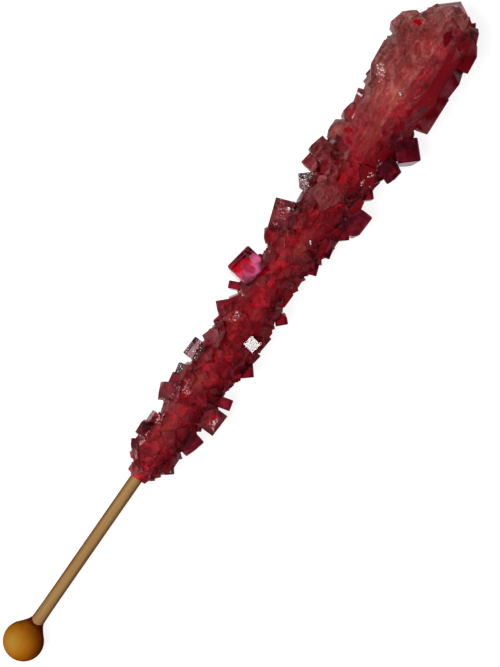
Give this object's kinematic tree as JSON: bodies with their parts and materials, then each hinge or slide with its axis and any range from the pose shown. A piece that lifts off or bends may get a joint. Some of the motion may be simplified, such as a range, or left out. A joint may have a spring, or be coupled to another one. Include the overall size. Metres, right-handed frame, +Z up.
{
  "type": "rock candy stick",
  "caption": "Red rock candy on a stick: a long uneven mass of grown-together sugar crystals on a wooden dowel with a varnished ball grip, lying down.",
  "frame": {"origin": "middle of the footprint, on the surface the stick lies on", "axes": "+X along the stick towards the candy end, +Y to the side of the largest bright crystal, +Z up out of the shown side"},
  "size_m": [0.1776, 0.023, 0.0188],
  "materials": {
    "red_sugar": "clear to cloudy crimson sugar crystal with flat glossy faces",
    "bare_wood": "bare light wood, matt, grain lengthways",
    "varnished_wood": "amber varnish, smooth satin gloss"
  },
  "bodies": {
    "root": {"rock_candy": "red_sugar", "stick": "bare_wood", "ball": "varnished_wood"}
  },
  "joints": []
}
